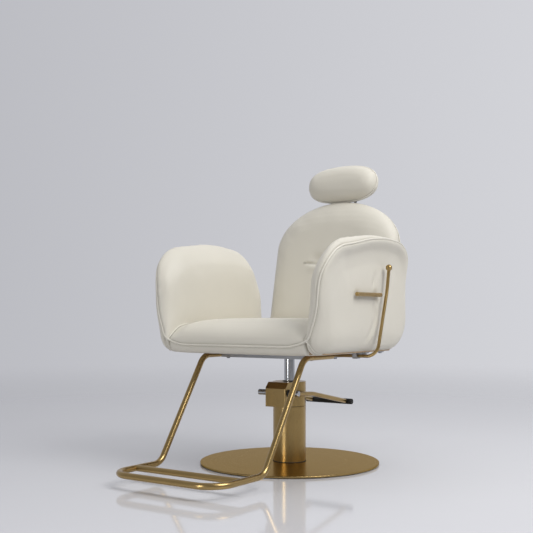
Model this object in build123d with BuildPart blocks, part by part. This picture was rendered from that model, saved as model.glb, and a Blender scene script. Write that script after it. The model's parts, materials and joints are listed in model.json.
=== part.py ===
from build123d import *
import os
from math import cos, radians, sin

# Styling chair: round base, hydraulic column, padded tub, reclining back, sliding headrest and footrest.
# Millimetres, +Z up, origin on the column's axis at the floor. The sitter faces -Y, with +X on the left.

# ---- driving dimensions -------------------------------------------------------------------------------
# base and column
BASE_R = 300.0
UNDERLAY_T = 2.0
BASE_TOP = 8.0
COLUMN_R = 55.0
COVER_TOP = 193.0
SEAM_GAP = 1.0
COLLAR_TOP = 275.0
ROD_R = 18.0
ROD_BOTTOM = 38.0
ROD_TOP = 374.0
FIT = 0.05

# pump head and pedal
HEAD_HALF_W = 40.0
HEAD_FRONT = -86.0
HEAD_BACK = -36.0
SHAFT_R = 9.5
SHAFT_Y = -65.0
SHAFT_Z = 240.0
SHAFT_HALF = 79.0
PEDAL_ROD_R = 7.5
PEDAL_HALF_W = 70.0
PEDAL_BEND = (37.0, 233.0)
GRIP_Y = 262.0
GRIP_Z = 190.0
GRIP_R = 10.0
GRIP_HALF = 95.0

# seat and arms
SEAT_HALF_W = 259.7
SEAT_FRONT = -322.0
SEAT_BACK = 196.0
SEAT_BOTTOM = 380.0
SEAT_TOP = 485.0
BOARD_T = 18.0
ARM_INNER = 260.0
ARM_OUTER = 326.0
ARM_ROLL_OUTER = 338.0
ARM_ROLL_Z = 674.0
CORE_INNER = 284.0
CORE_T = 15.0
STRAP_T = 4.0

# frame under the seat
FRAME_BOTTOM = 358.0
FRAME_TOP = 376.0
FRAME_HALF_W = 173.0
FRAME_FRONT = -150.0
FRAME_BACK = 200.0
RAIL_W = 20.0

# footrest
FOOT_R = 9.5
FOOT_WALL = 2.0
FOOT_HALF_W = 195.0
FOOT_TOP_Z = 366.4
FOOT_LOW_Z = 40.0
FOOT_START = -50.0
FOOT_KNEE = -217.0
FOOT_HEEL = -431.0
FOOT_SPLIT = -500.0
FOOT_FRONT = -652.0
CROSS_BAR_Y = -539.0

# recline lever and side bars
LEVER_R = 5.25
LEVER_X = 343.0
LEVER_Y = -25.0
LEVER_Z = 368.0
LEVER_TOP = (57.0, 649.0)
BALL_R = 10.5
BAR_R = 6.5
BAR_X = 335.0
BAR_Z = 561.0
BAR_ENDS = (-141.0, 17.0)

# backrest and headrest, measured up the back's own leaning plane
PIVOT_Y = 235.0
PIVOT_Z = 396.0
BACK_LEAN = 11.0
BACK_HALF_W = 249.0
BACK_LOW = -60.0
BACK_SHOULDER = 261.0
BACK_CROWN = 441.0
BACK_FRONT_T = 45.0
BACK_BOARD_T = 12.0
BACK_REAR_T = 33.0
HEAD_ROD_R = 5.0
HEAD_ROD_X = 50.0
HEAD_ROD_DEPTH = -22.0
PILLOW_MID = 513.0
PILLOW_HALF_W = 145.0
PILLOW_HALF_H = 68.0
PILLOW_HALF_T = 44.0

# gas spring that locks the back
SPRING_X = 60.0
SPRING_Z = 363.0
SPRING_R = 7.5
SPRING_FRONT = 5.0
CRANK_DROP = PIVOT_Z - SPRING_Z

SIDES = (("left", 1), ("right", -1))

# The back's plane: x along the chair's +X, y up the back, z out of its front face.
BACK_PLANE = Plane(
    origin=(0, 261, 480),
    x_dir=(1, 0, 0),
    z_dir=(0, -cos(radians(BACK_LEAN)), sin(radians(BACK_LEAN))),
)
OUT_OF_BACK = Axis(BACK_PLANE.origin, BACK_PLANE.z_dir)


def write_piece(piece, name):
    """Label a finished piece and write it under the same name."""
    piece.part.label = name
    export_step(piece.part, f"parts/{name}.step")


def side_plane(x):
    """A sketch plane across X at the given place, with y as the sketch's x and z as its y."""
    return Plane(origin=(x, 0, 0), x_dir=(0, 1, 0), z_dir=(1, 0, 0))


def bar_along_x(x_from, x_to, y, z, radius, mode=Mode.ADD):
    """A round bar from one x to another, added to the part that is being built."""
    with BuildSketch(side_plane(x_from)) as profile:
        with Locations((y, z)):
            Circle(radius)
    extrude(profile.sketch, amount=x_to - x_from, mode=mode)


def block(x_range, y_range, z_range, mode=Mode.ADD):
    """A square-cornered block between the given limits, added to the part that is being built."""
    with BuildSketch(Plane.XY.offset(z_range[0])) as profile:
        with Locations(((x_range[0] + x_range[1]) / 2, (y_range[0] + y_range[1]) / 2)):
            Rectangle(x_range[1] - x_range[0], y_range[1] - y_range[0])
    extrude(profile.sketch, amount=z_range[1] - z_range[0], mode=mode)


def disc(z_from, z_to, outer, inner=0.0, mode=Mode.ADD):
    """A disc or ring about the column's axis, added to the part that is being built."""
    with BuildSketch(Plane.XY.offset(z_from)) as profile:
        Circle(outer)
        if inner > 0:
            Circle(inner, mode=Mode.SUBTRACT)
    extrude(profile.sketch, amount=z_to - z_from, mode=mode)


def back_block(x_range, y_range, z_range, mode=Mode.ADD):
    """A block whose limits are measured in the back's plane."""
    with BuildSketch(BACK_PLANE.offset(z_range[0])) as profile:
        with Locations(((x_range[0] + x_range[1]) / 2, (y_range[0] + y_range[1]) / 2)):
            Rectangle(x_range[1] - x_range[0], y_range[1] - y_range[0])
    extrude(profile.sketch, amount=z_range[1] - z_range[0], mode=mode)


def back_rods(y_range, radius, mode=Mode.ADD):
    """Two round rods that run up the back where the headrest's posts are."""
    low = Plane(
        origin=BACK_PLANE.from_local_coords(Vector(0, y_range[0], HEAD_ROD_DEPTH)),
        x_dir=(1, 0, 0),
        z_dir=BACK_PLANE.y_dir,
    )
    with BuildSketch(low) as profile:
        with Locations((-HEAD_ROD_X, 0), (HEAD_ROD_X, 0)):
            Circle(radius)
    extrude(profile.sketch, amount=y_range[1] - y_range[0], mode=mode)


# ---- base and column ----------------------------------------------------------------------------------
BOLT_CIRCLE = 40.0

with BuildPart() as base_underlay:
    disc(0, UNDERLAY_T, BASE_R - 5)
write_piece(base_underlay, "base_underlay")

with BuildPart() as base_bolts:
    with BuildSketch(Plane.XY.offset(UNDERLAY_T)):
        with PolarLocations(BOLT_CIRCLE, 4):
            Circle(8)
    extrude(amount=3)
    with BuildSketch(Plane.XY.offset(UNDERLAY_T + 3)):
        with PolarLocations(BOLT_CIRCLE, 4):
            Circle(4)
    extrude(amount=12)
write_piece(base_bolts, "base_bolts")

with BuildPart() as base_disc:
    disc(UNDERLAY_T, BASE_TOP, BASE_R)
    rim = base_disc.edges().filter_by(GeomType.CIRCLE).sort_by(Axis.Z)
    fillet(rim[-1], 1.5)
    chamfer(rim[0], 0.8)
    add(base_bolts.part, mode=Mode.SUBTRACT)
write_piece(base_disc, "base_disc")

with BuildPart() as column_gasket:
    disc(BASE_TOP, BASE_TOP + 2, COLUMN_R + 1, COLUMN_R - 4)
write_piece(column_gasket, "column_gasket")

PUMP_INNER = 25.0
PUMP_OUTER = 34.0
FLANGE_TOP = BASE_TOP + 10

with BuildPart() as pump_flange:
    disc(BASE_TOP, FLANGE_TOP, 50)
    add(base_bolts.part, mode=Mode.SUBTRACT)
write_piece(pump_flange, "pump_flange")

BUSH_BOTTOM = 236.0
BUSH_TOP = 266.0

with BuildPart() as pump_cylinder:
    disc(FLANGE_TOP, BUSH_TOP, PUMP_OUTER, PUMP_INNER)
write_piece(pump_cylinder, "pump_cylinder")

with BuildPart() as rod_bush:
    disc(BUSH_BOTTOM, BUSH_TOP, PUMP_INNER, ROD_R + FIT)
write_piece(rod_bush, "rod_bush")

with BuildPart() as column_cover:
    disc(BASE_TOP + 2, COVER_TOP, COLUMN_R, COLUMN_R - 3)
    cover_rims = column_cover.edges().filter_by(GeomType.CIRCLE).group_by(Axis.Z)[-1]
    chamfer(cover_rims.sort_by(SortBy.RADIUS)[-1], 0.6)
write_piece(column_cover, "column_cover")


def head_outline():
    """The pump head's side profile, with its sloping top front corner, drawn across X."""
    with BuildLine() as outline:
        Polyline(
            (HEAD_BACK, COVER_TOP + 2),
            (HEAD_FRONT, COVER_TOP + 2),
            (HEAD_FRONT, COLLAR_TOP - 20),
            (HEAD_FRONT + 18, COLLAR_TOP),
            (HEAD_BACK, COLLAR_TOP),
            close=True,
        )
    make_face(outline.edges())


with BuildPart() as pump_head:
    with BuildSketch(side_plane(-HEAD_HALF_W)):
        head_outline()
    extrude(amount=2 * HEAD_HALF_W)
    fillet(pump_head.edges().filter_by(Axis.Z).sort_by(Axis.Y)[:2], 3)
    bar_along_x(-HEAD_HALF_W, HEAD_HALF_W, SHAFT_Y, SHAFT_Z, SHAFT_R + FIT, mode=Mode.SUBTRACT)
write_piece(pump_head, "pump_head")

SEAL_R = 24.0

with BuildPart() as column_collar:
    disc(COVER_TOP + SEAM_GAP, COLLAR_TOP, COLUMN_R)
    chamfer(column_collar.edges().group_by(Axis.Z)[-1], 0.8)
    disc(COVER_TOP + SEAM_GAP, COLLAR_TOP - 6, COLUMN_R - 4, mode=Mode.SUBTRACT)
    disc(COLLAR_TOP - 6, COLLAR_TOP, SEAL_R, mode=Mode.SUBTRACT)
    block(
        (-HEAD_HALF_W, HEAD_HALF_W),
        (-COLUMN_R, HEAD_BACK),
        (COVER_TOP + SEAM_GAP, COLLAR_TOP),
        mode=Mode.SUBTRACT,
    )
write_piece(column_collar, "column_collar")

with BuildPart() as rod_seal:
    disc(COLLAR_TOP - 6, COLLAR_TOP + 2, SEAL_R, ROD_R + 0.3)
    chamfer(rod_seal.edges().group_by(Axis.Z)[-1].sort_by(SortBy.RADIUS)[-1], 1)
write_piece(rod_seal, "rod_seal")

with BuildPart() as collar_screws:
    with BuildSketch(Plane.XZ.offset(-COLUMN_R + 4)):
        with Locations((-18, 214), (18, 214)):
            Circle(3)
    extrude(amount=-5)
    with BuildSketch(Plane.XZ.offset(-COLUMN_R - 1)):
        with Locations((-18, 214), (18, 214)):
            RegularPolygon(1.5, 6)
    extrude(amount=2, mode=Mode.SUBTRACT)
    add(column_collar.part, mode=Mode.SUBTRACT)
write_piece(collar_screws, "collar_screws")

# ---- rising rod ---------------------------------------------------------------------------------------
with BuildPart() as piston_head:
    disc(ROD_BOTTOM - 16, ROD_BOTTOM, PUMP_INNER - FIT)
    disc(ROD_BOTTOM - 11, ROD_BOTTOM - 5, PUMP_INNER, PUMP_INNER - 2, mode=Mode.SUBTRACT)
write_piece(piston_head, "piston_head")

with BuildPart() as piston_rod:
    disc(ROD_BOTTOM, ROD_TOP, ROD_R)
    chamfer(piston_rod.edges().group_by(Axis.Z)[-1], 1)
write_piece(piston_rod, "piston_rod")

# ---- pump pedal ---------------------------------------------------------------------------------------
with BuildPart() as pedal_shaft:
    bar_along_x(-SHAFT_HALF, SHAFT_HALF, SHAFT_Y, SHAFT_Z, SHAFT_R)
    chamfer(pedal_shaft.edges().filter_by(GeomType.CIRCLE), 1.2)
write_piece(pedal_shaft, "pedal_shaft")

with BuildPart() as shaft_collars:
    for _, sign in SIDES:
        bar_along_x(sign * (HEAD_HALF_W + 0.4), sign * (HEAD_HALF_W + 4.4), SHAFT_Y, SHAFT_Z, SHAFT_R + 3)
    bar_along_x(-SHAFT_HALF, SHAFT_HALF, SHAFT_Y, SHAFT_Z, SHAFT_R, mode=Mode.SUBTRACT)
write_piece(shaft_collars, "shaft_collars")

with BuildPart() as pedal_crossbar:
    bar_along_x(-GRIP_HALF + 3, GRIP_HALF - 3, GRIP_Y, GRIP_Z, GRIP_R - 4)
write_piece(pedal_crossbar, "pedal_crossbar")

with BuildPart() as pedal_arms:
    for _, sign in SIDES:
        with BuildLine(side_plane(sign * PEDAL_HALF_W)) as pedal_path:
            FilletPolyline((SHAFT_Y, SHAFT_Z), PEDAL_BEND, (GRIP_Y - 4, GRIP_Z + 1), radius=150)
        with BuildSketch(pedal_path.line ^ 0):
            Circle(PEDAL_ROD_R)
        sweep(path=pedal_path.line)
    add(pedal_shaft.part, mode=Mode.SUBTRACT)
    add(pedal_crossbar.part, mode=Mode.SUBTRACT)
write_piece(pedal_arms, "pedal_arms")

with BuildPart() as pedal_grip:
    bar_along_x(-GRIP_HALF, GRIP_HALF, GRIP_Y, GRIP_Z, GRIP_R)
    fillet(pedal_grip.edges().filter_by(GeomType.CIRCLE), 3)
    add(pedal_crossbar.part, mode=Mode.SUBTRACT)
    add(pedal_arms.part, mode=Mode.SUBTRACT)
write_piece(pedal_grip, "pedal_grip")

# ---- swivel and frame under the seat ------------------------------------------------------------------
HUB_R = 35.0
PLATE_T = 5.0

with BuildPart() as swivel_hub:
    disc(FRAME_BOTTOM, FRAME_TOP - PLATE_T, HUB_R, ROD_R + FIT)
write_piece(swivel_hub, "swivel_hub")

with BuildPart() as hub_plate:
    plate_z = (FRAME_TOP - PLATE_T, FRAME_TOP)
    block((-FRAME_HALF_W + RAIL_W, FRAME_HALF_W - RAIL_W), (-8, 60), plate_z)
    block((-50, 50), (-70, -8), plate_z)
    block((SPRING_X - 12, SPRING_X + 12), (15, 60), plate_z, mode=Mode.SUBTRACT)
    disc(FRAME_TOP - PLATE_T, FRAME_TOP, ROD_R + FIT, mode=Mode.SUBTRACT)
write_piece(hub_plate, "hub_plate")

FRAME_BOLTS = [(x, y) for x in (-163, 163) for y in (-125, 25, 175)]

with BuildPart() as frame_bolts:
    with BuildSketch(Plane.XY.offset(FRAME_BOTTOM - 5)):
        with Locations(*FRAME_BOLTS):
            RegularPolygon(6.5, 6)
    extrude(amount=5)
    with BuildSketch(Plane.XY.offset(FRAME_BOTTOM)):
        with Locations(*FRAME_BOLTS):
            Circle(4)
    extrude(amount=SEAT_BOTTOM + 14 - FRAME_BOTTOM)
write_piece(frame_bolts, "frame_bolts")

with BuildPart() as frame_rails:
    for _, sign in SIDES:
        inner = sign * (FRAME_HALF_W - RAIL_W)
        outer = sign * FRAME_HALF_W
        block((min(inner, outer), max(inner, outer)), (FRAME_FRONT, FRAME_BACK), (FRAME_BOTTOM, FRAME_TOP))
    bar_along_x(100, FRAME_HALF_W + 5, LEVER_Y, LEVER_Z, LEVER_R + 0.5, mode=Mode.SUBTRACT)
    add(frame_bolts.part, mode=Mode.SUBTRACT)
write_piece(frame_rails, "frame_rails")

with BuildPart() as frame_front_bar:
    block(
        (-FRAME_HALF_W + RAIL_W, FRAME_HALF_W - RAIL_W),
        (FRAME_FRONT, FRAME_FRONT + RAIL_W),
        (FRAME_BOTTOM, FRAME_TOP),
    )
write_piece(frame_front_bar, "frame_front_bar")

# The rear strap lies ahead of where the gas spring rises when the back reclines.
STRAP_PLACES = (-5.0, 95.0)
STRAP_HALF_W = 16.0
STRAP_SCREW_PLACES = [(sign * (CORE_INNER + CORE_T / 2), y) for _, sign in SIDES for y in STRAP_PLACES]

with BuildPart() as strap_screws:
    with BuildSketch(Plane.XY.offset(FRAME_TOP - 3)):
        with Locations(*STRAP_SCREW_PLACES):
            Circle(5.5)
    extrude(amount=3)
    fillet(strap_screws.edges().group_by(Axis.Z)[0], 1.2)
    with BuildSketch(Plane.XY.offset(FRAME_TOP)):
        with Locations(*STRAP_SCREW_PLACES):
            Circle(2.5)
    extrude(amount=30)
write_piece(strap_screws, "strap_screws")

with BuildPart() as arm_straps:
    for y_mid in STRAP_PLACES:
        block(
            (-CORE_INNER - CORE_T, CORE_INNER + CORE_T),
            (y_mid - STRAP_HALF_W, y_mid + STRAP_HALF_W),
            (FRAME_TOP, FRAME_TOP + STRAP_T),
        )
    fillet(arm_straps.edges().filter_by(Axis.Z), 6)
    add(frame_bolts.part, mode=Mode.SUBTRACT)
    add(strap_screws.part, mode=Mode.SUBTRACT)
write_piece(arm_straps, "arm_straps")

# ---- seat ---------------------------------------------------------------------------------------------
with BuildPart() as seat_board:
    block(
        (-SEAT_HALF_W, SEAT_HALF_W),
        (SEAT_FRONT + 32, SEAT_BACK - 16),
        (SEAT_BOTTOM, SEAT_BOTTOM + BOARD_T),
    )
    add(frame_bolts.part, mode=Mode.SUBTRACT)
write_piece(seat_board, "seat_board")

with BuildPart() as seat_cushion:
    block((-SEAT_HALF_W, SEAT_HALF_W), (SEAT_FRONT, SEAT_BACK), (SEAT_BOTTOM, SEAT_TOP))
    across = seat_cushion.edges().filter_by(Axis.X)
    fillet(across.group_by(Axis.Z)[-1].sort_by(Axis.Y)[0], 60)
    fillet(seat_cushion.edges().filter_by(Axis.X).group_by(Axis.Z)[0].sort_by(Axis.Y)[0], 22)
    block(
        (-SEAT_HALF_W, SEAT_HALF_W),
        (SEAT_FRONT + 32, SEAT_BACK - 16),
        (SEAT_BOTTOM, SEAT_BOTTOM + BOARD_T),
        mode=Mode.SUBTRACT,
    )
write_piece(seat_cushion, "seat_cushion")


# ---- arms ---------------------------------------------------------------------------------------------
def arm_outline():
    """The arm's side outline, drawn across X: upright front, crowned top and a rounded leaning rear."""
    with BuildLine() as outline:
        FilletPolyline(
            (SEAT_FRONT, SEAT_BOTTOM),
            (SEAT_FRONT, 714),
            (-32, 752),
            (202, 722),
            (236, 565),
            (238, SEAT_BOTTOM),
            radius=[50, 130, 500, 98, 160, 100],
            close=True,
        )
    make_face(outline.edges())


def core_outline():
    """The board inside an arm, drawn across X and reaching down to the arm's underside."""
    with BuildLine() as outline:
        FilletPolyline(
            (SEAT_FRONT + 52, SEAT_BOTTOM),
            (SEAT_FRONT + 40, 665),
            (-60, 705),
            (135, 680),
            (212, 492),
            (148, SEAT_BOTTOM),
            radius=[4, 55, 300, 60, 60, 4],
            close=True,
        )
    make_face(outline.edges())


STUD_R = 4.0
CORE_OUTER = CORE_INNER + CORE_T
stud_places = [(BAR_ENDS[0] + 22, BAR_Z), (BAR_ENDS[1] - 22, BAR_Z)]

side_bars = {}
for side, sign in SIDES:
    with BuildPart() as side_bar:
        with BuildSketch(Plane.XZ.offset(-BAR_ENDS[0])):
            with Locations((sign * BAR_X, BAR_Z)):
                Circle(BAR_R)
        extrude(amount=BAR_ENDS[0] - BAR_ENDS[1])
        fillet(side_bar.edges().filter_by(GeomType.CIRCLE), 1.5)
    side_bars[side] = side_bar.part
    write_piece(side_bar, f"{side}_side_bar")

with BuildPart() as bar_studs:
    for side, sign in SIDES:
        with BuildSketch(side_plane(sign * CORE_OUTER)):
            with Locations(*stud_places):
                Circle(STUD_R)
        extrude(amount=sign * (BAR_X - CORE_OUTER))
        add(side_bars[side], mode=Mode.SUBTRACT)
write_piece(bar_studs, "bar_studs")

for side, sign in SIDES:
    with BuildPart() as arm_core:
        with BuildSketch(side_plane(sign * CORE_INNER)):
            core_outline()
        extrude(amount=sign * CORE_T)
        add(strap_screws.part, mode=Mode.SUBTRACT)
    write_piece(arm_core, f"{side}_arm_core")

    with BuildPart() as arm_pad:
        with BuildSketch(side_plane(sign * ARM_INNER)):
            arm_outline()
        extrude(amount=sign * (ARM_OUTER - ARM_INNER))
        with BuildSketch(side_plane(sign * (ARM_OUTER - 10))):
            arm_outline()
            with Locations((-30, ARM_ROLL_Z - 300)):
                Rectangle(700, 600, mode=Mode.SUBTRACT)
        extrude(amount=sign * (ARM_ROLL_OUTER - ARM_OUTER + 10))
        with BuildSketch(side_plane(sign * CORE_INNER)):
            core_outline()
        extrude(amount=sign * CORE_T, mode=Mode.SUBTRACT)
        with BuildSketch(side_plane(sign * CORE_OUTER)):
            with Locations(*stud_places):
                Circle(STUD_R)
        extrude(amount=sign * (ARM_OUTER - CORE_OUTER), mode=Mode.SUBTRACT)
    write_piece(arm_pad, f"{side}_arm_pad")

# ---- footrest -----------------------------------------------------------------------------------------
for side, sign in SIDES:
    with BuildPart() as leg:
        with BuildLine(side_plane(sign * FOOT_HALF_W)) as leg_path:
            FilletPolyline(
                (FOOT_START, FOOT_TOP_Z),
                (FOOT_KNEE, FOOT_TOP_Z),
                (FOOT_HEEL, FOOT_LOW_Z),
                (FOOT_SPLIT, FOOT_LOW_Z),
                radius=[55, 50],
            )
        with BuildSketch(leg_path.line ^ 0):
            Circle(FOOT_R)
            Circle(FOOT_R - FOOT_WALL, mode=Mode.SUBTRACT)
        sweep(path=leg_path.line)
    write_piece(leg, f"footrest_{side}_leg")

with BuildPart() as footrest_front_loop:
    with BuildLine(Plane.XY.offset(FOOT_LOW_Z)) as loop_path:
        FilletPolyline(
            (-FOOT_HALF_W, FOOT_SPLIT),
            (-FOOT_HALF_W, FOOT_FRONT),
            (FOOT_HALF_W, FOOT_FRONT),
            (FOOT_HALF_W, FOOT_SPLIT),
            radius=70,
        )
    with BuildSketch(loop_path.line ^ 0):
        Circle(FOOT_R)
        Circle(FOOT_R - FOOT_WALL, mode=Mode.SUBTRACT)
    sweep(path=loop_path.line)
write_piece(footrest_front_loop, "footrest_front_loop")

with BuildPart() as footrest_cross_bar:
    bar_along_x(-FOOT_HALF_W, FOOT_HALF_W, CROSS_BAR_Y, FOOT_LOW_Z, FOOT_R)
    for _, sign in SIDES:
        with BuildSketch(Plane.XZ.offset(-FOOT_FRONT)):
            with Locations((sign * FOOT_HALF_W, FOOT_LOW_Z)):
                Circle(FOOT_R)
        extrude(amount=-(FOOT_SPLIT - FOOT_FRONT), mode=Mode.SUBTRACT)
    bar_along_x(-FOOT_HALF_W, FOOT_HALF_W, CROSS_BAR_Y, FOOT_LOW_Z, FOOT_R - FOOT_WALL, mode=Mode.SUBTRACT)
write_piece(footrest_cross_bar, "footrest_cross_bar")

FOOT_BOLTS = [(sign * FOOT_HALF_W, y) for _, sign in SIDES for y in (FOOT_START - 20, FOOT_KNEE + 45)]

with BuildPart() as footrest_saddles:
    with BuildSketch(Plane.XY.offset(FOOT_TOP_Z + FOOT_R - 1)):
        with Locations(*FOOT_BOLTS):
            Rectangle(24, 28)
    extrude(amount=SEAT_BOTTOM - FOOT_TOP_Z - FOOT_R + 1)
    for _, sign in SIDES:
        with BuildSketch(Plane.XZ.offset(-FOOT_START)):
            with Locations((sign * FOOT_HALF_W, FOOT_TOP_Z)):
                Circle(FOOT_R)
        extrude(amount=FOOT_START - FOOT_KNEE, mode=Mode.SUBTRACT)
write_piece(footrest_saddles, "footrest_saddles")

# ---- recline lever ------------------------------------------------------------------------------------
LEVER_INNER = 66.0

with BuildPart() as lever_rod:
    with BuildLine() as lever_path:
        FilletPolyline(
            (LEVER_INNER, LEVER_Y, LEVER_Z),
            (LEVER_X, LEVER_Y, LEVER_Z),
            (LEVER_X, LEVER_TOP[0] - 12, LEVER_TOP[1] - 70),
            (LEVER_X, LEVER_TOP[0], LEVER_TOP[1]),
            radius=[36, 300],
        )
    with BuildSketch(lever_path.line ^ 0):
        Circle(LEVER_R)
    sweep(path=lever_path.line)
    with Locations((LEVER_X, *LEVER_TOP)):
        Sphere(BALL_R, mode=Mode.SUBTRACT)
write_piece(lever_rod, "lever_rod")

with BuildPart() as lever_ball:
    with Locations((LEVER_X, *LEVER_TOP)):
        Sphere(BALL_R)
write_piece(lever_ball, "lever_ball")

with BuildPart() as lever_cam:
    with BuildSketch(side_plane(LEVER_INNER - 10)):
        with BuildLine():
            Polyline(
                (LEVER_Y - 8, LEVER_Z - 6),
                (LEVER_Y - 8, LEVER_Z + 6),
                (LEVER_Y + 4, LEVER_Z + 7),
                (LEVER_Y + 13, LEVER_Z + 2),
                (LEVER_Y + 13, LEVER_Z - 3),
                (LEVER_Y + 4, LEVER_Z - 7),
                close=True,
            )
        make_face()
    extrude(amount=10)
write_piece(lever_cam, "lever_cam")

with BuildPart() as lever_bearings:
    for x_from in (124, 262):
        block((x_from, x_from + 16), (LEVER_Y - 13, LEVER_Y + 13), (LEVER_Z - 8.5, SEAT_BOTTOM - STRAP_T))
    fillet(lever_bearings.edges().filter_by(Axis.X).group_by(Axis.Z)[0], 5)
    bar_along_x(100, LEVER_X, LEVER_Y, LEVER_Z, LEVER_R + FIT, mode=Mode.SUBTRACT)
write_piece(lever_bearings, "lever_bearings")

# ---- back hinge ---------------------------------------------------------------------------------------
PIN_R = 6.0
BRACKET_INNER = 164.0
BRACKET_T = 6.0
LUG_GAP = 0.4
LUG_T = 6.0
EYE_R = 16.0
LUG_INNER = BRACKET_INNER + BRACKET_T + LUG_GAP

with BuildPart() as hinge_pins:
    for _, sign in SIDES:
        bar_along_x(sign * (BRACKET_INNER - 6), sign * (LUG_INNER + LUG_T), PIVOT_Y, PIVOT_Z, PIN_R)
        bar_along_x(sign * (LUG_INNER + LUG_T), sign * (LUG_INNER + LUG_T + 5), PIVOT_Y, PIVOT_Z, PIN_R + 4)
write_piece(hinge_pins, "hinge_pins")

with BuildPart() as hinge_lugs:
    for _, sign in SIDES:
        with BuildSketch(side_plane(sign * LUG_INNER)):
            with BuildLine():
                Polyline(
                    (FRAME_BACK, FRAME_BOTTOM),
                    (FRAME_BACK + 16, FRAME_BOTTOM),
                    (PIVOT_Y + EYE_R - 2, PIVOT_Z - 6),
                    (PIVOT_Y, PIVOT_Z),
                    (PIVOT_Y - EYE_R + 1, PIVOT_Z + 4),
                    (FRAME_BACK, FRAME_TOP),
                    close=True,
                )
            make_face()
            with Locations((PIVOT_Y, PIVOT_Z)):
                Circle(EYE_R)
        extrude(amount=sign * LUG_T)
        inner = sign * (FRAME_HALF_W - RAIL_W)
        outer = sign * (LUG_INNER + LUG_T)
        block(
            (min(inner, outer), max(inner, outer)),
            (FRAME_BACK, FRAME_BACK + 5),
            (FRAME_BOTTOM, FRAME_TOP),
        )
    add(hinge_pins.part, mode=Mode.SUBTRACT)
write_piece(hinge_lugs, "hinge_lugs")

with BuildPart() as pivot_tube:
    bar_along_x(-BRACKET_INNER, BRACKET_INNER, PIVOT_Y, PIVOT_Z, 10)
    bar_along_x(-BRACKET_INNER, BRACKET_INNER, PIVOT_Y, PIVOT_Z, PIN_R + 1, mode=Mode.SUBTRACT)
write_piece(pivot_tube, "pivot_tube")

FLANGE_W = 40.0
FLANGE_T = 5.0
TAB_TOP = 20.0

with BuildPart() as plain_brackets:
    for _, sign in SIDES:
        foot = BACK_PLANE.from_local_coords(Vector(0, BACK_LOW - 10, -BACK_BOARD_T))
        heel = BACK_PLANE.from_local_coords(Vector(0, BACK_LOW - 10, -BACK_BOARD_T - 24))
        toe = BACK_PLANE.from_local_coords(Vector(0, TAB_TOP, -BACK_BOARD_T))
        knee = BACK_PLANE.from_local_coords(Vector(0, TAB_TOP, -BACK_BOARD_T - FLANGE_T))
        with BuildSketch(side_plane(sign * BRACKET_INNER)):
            with BuildLine():
                Polyline(
                    (PIVOT_Y - EYE_R + 3, PIVOT_Z + 6),
                    (foot.Y, foot.Z),
                    (toe.Y, toe.Z),
                    (knee.Y, knee.Z),
                    (heel.Y, heel.Z),
                    (PIVOT_Y + EYE_R - 1, PIVOT_Z - 4),
                    (PIVOT_Y, PIVOT_Z),
                    close=True,
                )
            make_face()
            with Locations((PIVOT_Y, PIVOT_Z)):
                Circle(EYE_R)
        extrude(amount=sign * BRACKET_T)
        inner = sign * (BRACKET_INNER + BRACKET_T)
        outer = sign * (BRACKET_INNER + BRACKET_T - FLANGE_W)
        back_block(
            (min(inner, outer), max(inner, outer)),
            (BACK_LOW + 4, 120),
            (-BACK_BOARD_T - FLANGE_T, -BACK_BOARD_T),
        )
        bar_along_x(
            sign * (BRACKET_INNER - 2),
            sign * (BRACKET_INNER + BRACKET_T + 2),
            PIVOT_Y,
            PIVOT_Z,
            PIN_R + FIT,
            mode=Mode.SUBTRACT,
        )

SCREW_PLACES = [(sign * 145, y) for _, sign in SIDES for y in (0, 50, 100)]

with BuildPart() as bracket_screws:
    with BuildSketch(BACK_PLANE.offset(-BACK_BOARD_T - FLANGE_T - 3)):
        with Locations(*SCREW_PLACES):
            Circle(5.5)
    extrude(amount=3)
    with BuildSketch(BACK_PLANE.offset(-BACK_BOARD_T - FLANGE_T)):
        with Locations(*SCREW_PLACES):
            Circle(2.5)
    extrude(amount=FLANGE_T + 9)
write_piece(bracket_screws, "bracket_screws")

with BuildPart() as back_brackets:
    add(plain_brackets.part)
    add(bracket_screws.part, mode=Mode.SUBTRACT)
write_piece(back_brackets, "back_brackets")

# ---- gas spring ---------------------------------------------------------------------------------------
CRANK_X = SPRING_X + 7
EYE_HALF = 4.0
SPRING_ROD_R = 4.0
CYLINDER_END = 160.0
OPEN_PIVOT_GAP = 3.2

with BuildPart() as spring_crank:
    with BuildSketch(side_plane(CRANK_X)):
        with Locations((PIVOT_Y, PIVOT_Z)):
            Circle(15)
        with Locations((PIVOT_Y, PIVOT_Z - CRANK_DROP / 2)):
            Rectangle(16, CRANK_DROP)
        with Locations((PIVOT_Y, SPRING_Z)):
            Circle(8)
    extrude(amount=5)
    bar_along_x(SPRING_X - EYE_HALF - 3, CRANK_X, PIVOT_Y, SPRING_Z, 3)
    add(pivot_tube.part, mode=Mode.SUBTRACT)
    bar_along_x(CRANK_X - 1, CRANK_X + 6, PIVOT_Y, PIVOT_Z, 9.5, mode=Mode.SUBTRACT)
write_piece(spring_crank, "spring_crank")


def rod_along_y(y_from, y_to, x, z, radius, mode=Mode.ADD):
    """A round rod from one y to another, added to the part that is being built."""
    with BuildSketch(Plane.XZ.offset(-y_from)) as profile:
        with Locations((x, z)):
            Circle(radius)
    extrude(profile.sketch, amount=-(y_to - y_from), mode=mode)


with BuildPart() as spring_cylinder:
    rod_along_y(SPRING_FRONT - 9, CYLINDER_END, SPRING_X, SPRING_Z, SPRING_R)
    fillet(spring_cylinder.edges().filter_by(GeomType.CIRCLE), 1)
    rod_along_y(SPRING_FRONT + 20, CYLINDER_END, SPRING_X, SPRING_Z, SPRING_ROD_R + FIT, mode=Mode.SUBTRACT)
    bar_along_x(SPRING_X - 12, SPRING_X + 12, SPRING_FRONT, SPRING_Z, 3 + FIT, mode=Mode.SUBTRACT)
write_piece(spring_cylinder, "spring_cylinder")

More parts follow.
